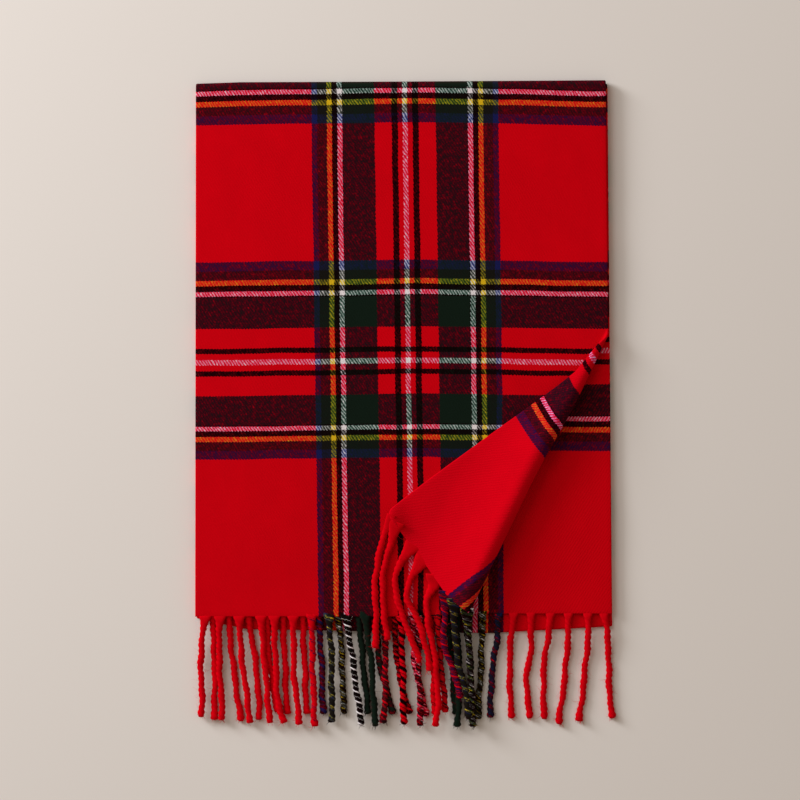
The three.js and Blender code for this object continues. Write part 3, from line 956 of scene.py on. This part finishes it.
# Strands of the layer under it.
UNDER_STRANDS = [
    [(-163.4, -180), (-161.8, -220), (-161.8, -268.7)],
    [(-149.6, -180), (-146.2, -220), (-139.3, -269.9)],
    [(-133, -180), (-128.7, -207.6), (-125, -237.5), (-123.8, -268.7)],
    [(-117, -180), (-115, -220), (-108, -262)],
    [(-103.3, -180), (-101.9, -220), (-100, -263.7)],
    [(-86.6, -180), (-85.1, -220), (-83.2, -263.7)],
    [(-72.8, -180), (-70.7, -220), (-69.4, -263.7)],
    [(-56.6, -180), (-53.3, -213.8), (-52.6, -245), (-50.7, -263.7)],
    [(-39.2, -180), (-35.2, -220), (-30.9, -263.7)],
    [(-24, -180), (-21, -220), (-9.5, -263.9)],
    [(-8, -180), (-6, -220), (3.8, -263.9)],
    [(7, -180), (9, -220), (19.1, -265.6)],
    [(22, -180), (24, -220), (26, -264)],
    [(37, -180), (41, -220), (43, -264)],
    [(52.5, -180), (56, -220), (58.2, -272)],
    [(66.5, -180), (65.5, -218.9), (62.5, -268)],
    [(79.6, -180), (78.5, -201.3), (74.1, -235), (73.4, -266.8)],
    [(92.6, -180), (91, -199), (89.7, -217.5), (90.9, -267.4)],
    [(107.6, -180), (107.8, -207.6), (104.6, -227.5), (104.6, -247.4), (106.9, -267.3)],
    [(124, -180), (122.1, -198.8), (119, -222.5), (118.4, -245), (119.6, -268)],
    [(139.4, -180), (139, -201.3), (137.1, -227.5), (131.5, -272.4)],
    [(156, -180), (156.4, -195.1), (153.3, -232.5), (148.9, -269.9)],
    [(170, -180), (173.2, -195.1), (173.8, -220), (175.1, -245), (176.4, -267.3)],
]

# Strands of the turned corner, from the corner to the roll: the place of their warp in the sett, and
# where they run in plan once they have left the cloth.
TURNED_STRANDS = [
    (163.0, [(-16.2, -109.0), (-22.2, -130.2), (-25.0, -149.2), (-24.6, -165.3), (-24.1, -207.0)]),
    (155.5, [(-11.0, -115.0), (-16.6, -136), (-18.9, -155), (-17.0, -178.1), (-14.7, -200.2)]),
    (133.5, [
        (2.6, -125.5), (-5.3, -137.5), (-7.5, -152.0), (-4.7, -171.3), (3.0, -190.8),
        (11.5, -214.6), (14.0, -218.0),
    ]),
    (118.5, [(11.3, -138.0), (4.2, -150.0), (3.0, -165.3), (11.5, -184.0), (18.3, -205.3), (21.7, -226.5)]),
    (98.5, [
        (25.0, -154.0), (18.9, -166.0), (20.0, -184.0), (24.2, -205.3), (27.6, -233.3),
        (28.5, -254.6), (26.5, -273.8),
    ]),
    (80.5, [(34.5, -176.0), (33.0, -198.0), (39.2, -220.9), (48.8, -249.4)]),
    (71.0, [(42.5, -184.6), (43.5, -205.3), (45.5, -218.9), (51.0, -240.1), (55.2, -267.3)]),
    (57.0, [(54.0, -190.8), (55.2, -212.1), (56.5, -233.3), (58.2, -273.8)]),
]
# Half width of a turned strand's root, by the place of its warp: the roots fill the cloth's edge.
TURNED_ROOTS = {
    "warp": [57.0, 80.5, 98.5, 118.5, 133.5, 155.5, 163.0],
    "half_width": [6.0, 7.5, 8.4, 7.8, 7.6, 6.6, 4.0],
}

# Roots: half width, and the length over which they gather.
TOP_ROOT = (5.6, 5.0)
UNDER_ROOT = (4.2, 4.0)
TURNED_ROOT_LENGTH = 11.0
TURNED_INSET = 3.5  # how far inside the cloth's edge the turned strands begin

# Heights at which strands come to lie, and between which distances below the middle they sink to them.
TOP_LIES, TOP_SINKS = 5.0, (181, 212)
UNDER_LIES, UNDER_SINKS = STRAND_HALF_HEIGHT + 0.2, (186, 216)
TURNED_LIES, TURNED_SINKS = 9.3, (184, 230)
OVER_CLOTH = STACK + STRAND_HALF_HEIGHT  # on the top layer
OFF_CLOTH = STACK + 2.2  # where the turned strands begin to sink
OFF_CLOTH_Y = EDGE_Y - 4


def make_fringe_top():
    """Strands of the top layer, left of the turned corner."""
    bundle = Bundle()
    for plan in TOP_STRANDS:
        x, y = np.array(plan).T
        z = lerp(TOP_MIDDLE, TOP_LIES, smooth(-y, *TOP_SINKS))
        root = place_top(x[:1], np.array([EDGE_Y + ROOT_INSET]))[0]
        add_strand(bundle, [tuple(root), *zip(x, y, z)], x[0] - top_sett_x(EDGE_Y), -1, TOP_ROOT)
    return bundle.piece("strands_top")


def make_fringe_under():
    """Strands of the layer under it, from selvage to selvage."""
    bundle = Bundle()
    for plan in UNDER_STRANDS:
        x, y = np.array(plan).T
        z = lerp(UNDER_MIDDLE, UNDER_LIES, smooth(-y, *UNDER_SINKS))
        root = place_under(x[:1], np.array([UNDER_EDGE_Y + ROOT_INSET]))[0]
        add_strand(bundle, [tuple(root), *zip(x, y, z)], x[0] - UNDER_SETT_X, -1, UNDER_ROOT)
    return bundle.piece("strands_under")


def make_fringe_turned():
    """Strands that turn with the corner, and begin inside its cloth in line with how they leave it."""
    bundle = Bundle()
    for warp, plan in TURNED_STRANDS:
        edge = place_top(np.array([warp + top_sett_x(EDGE_Y)]), np.array([EDGE_Y]))[0]
        x, y = np.array(plan).T
        sinking = lerp(OFF_CLOTH, TURNED_LIES, smooth(-y, *TURNED_SINKS))
        z = np.where(y > OFF_CLOTH_Y, OVER_CLOTH, sinking)
        backwards = np.array([edge[0] - x[0], edge[1] - y[0], 0.0])
        root = edge + backwards / np.linalg.norm(backwards) * TURNED_INSET
        root_half_width = np.interp(warp, TURNED_ROOTS["warp"], TURNED_ROOTS["half_width"])
        add_strand(bundle, [tuple(root), *zip(x, y, z)], warp, 1, (root_half_width, TURNED_ROOT_LENGTH))
    return bundle.piece("strands_turned")


fringe_top = make_fringe_top()
fringe_under = make_fringe_under()
fringe_turned = make_fringe_turned()

# ---- Floor, light and camera --------------------------------------------------------------------------

FLOOR_WIDTH = 6.0
LIGHT_COLOUR = (0.96, 0.98, 1.0)
ROOM_COLOUR = (1.0, 0.85, 0.70, 1.0)
ROOM_STRENGTH = 0.325
SENSOR_WIDTH = 36.0
CAMERA_HEIGHT = 2.5
FRAME_WIDTH = 0.680  # what the camera sees across, at the height of the top layer
FRAME_MIDDLE = (-3.8 * MM, 3.8 * MM)

bpy.ops.mesh.primitive_plane_add(size=FLOOR_WIDTH, location=(0, 0, 0))
floor = bpy.context.active_object
floor.name = "floor"
floor.data.materials.append(floor_material())


def area_light(name, place, target, size, power):
    data = bpy.data.lights.new(name, "AREA")
    data.shape = "DISK"
    data.size = size
    data.energy = power
    data.color = LIGHT_COLOUR
    light = bpy.data.objects.new(name, data)
    bpy.context.scene.collection.objects.link(light)
    light.location = place
    direction = np.array(target) - np.array(place)
    light.rotation_euler = Vector(direction).to_track_quat("-Z", "Y").to_euler()


# A low key light from the left, beyond the outer fold, and a broad fill above it.
area_light("key", place=(-2.35, 1.4, 0.98), target=(0.1, 0.0, 0.0), size=1.1, power=70.0)
area_light("fill", place=(-2.4, 2.2, 2.6), target=(0.0, 0.0, 0.0), size=3.0, power=66.0)

world = bpy.data.worlds.new("studio")
world.use_nodes = True
background = world.node_tree.nodes["Background"]
background.inputs["Color"].default_value = ROOM_COLOUR
background.inputs["Strength"].default_value = ROOM_STRENGTH
bpy.context.scene.world = world

camera_data = bpy.data.cameras.new("camera")
camera = bpy.data.objects.new("camera", camera_data)
bpy.context.scene.collection.objects.link(camera)
camera_data.sensor_width = SENSOR_WIDTH
camera_data.lens = SENSOR_WIDTH * (CAMERA_HEIGHT - STACK * MM) / FRAME_WIDTH
camera.location = (*FRAME_MIDDLE, CAMERA_HEIGHT)
camera.rotation_euler = (0, 0, 0)
bpy.context.scene.camera = camera
bpy.context.scene.view_settings.view_transform = "Standard"

# ---- The frame ----------------------------------------------------------------------------------------

for piece in (cloth_top, cloth_under, cloth_lower):
    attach(piece, "root")
for piece in (fringe_top, fringe_under, fringe_turned):
    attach(piece, "root")

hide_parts("top_layer", "turned_corner")
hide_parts("under_layer")
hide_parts("folded_layers")
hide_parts("fringe_top")
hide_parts("fringe_under")
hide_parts("fringe_turned")
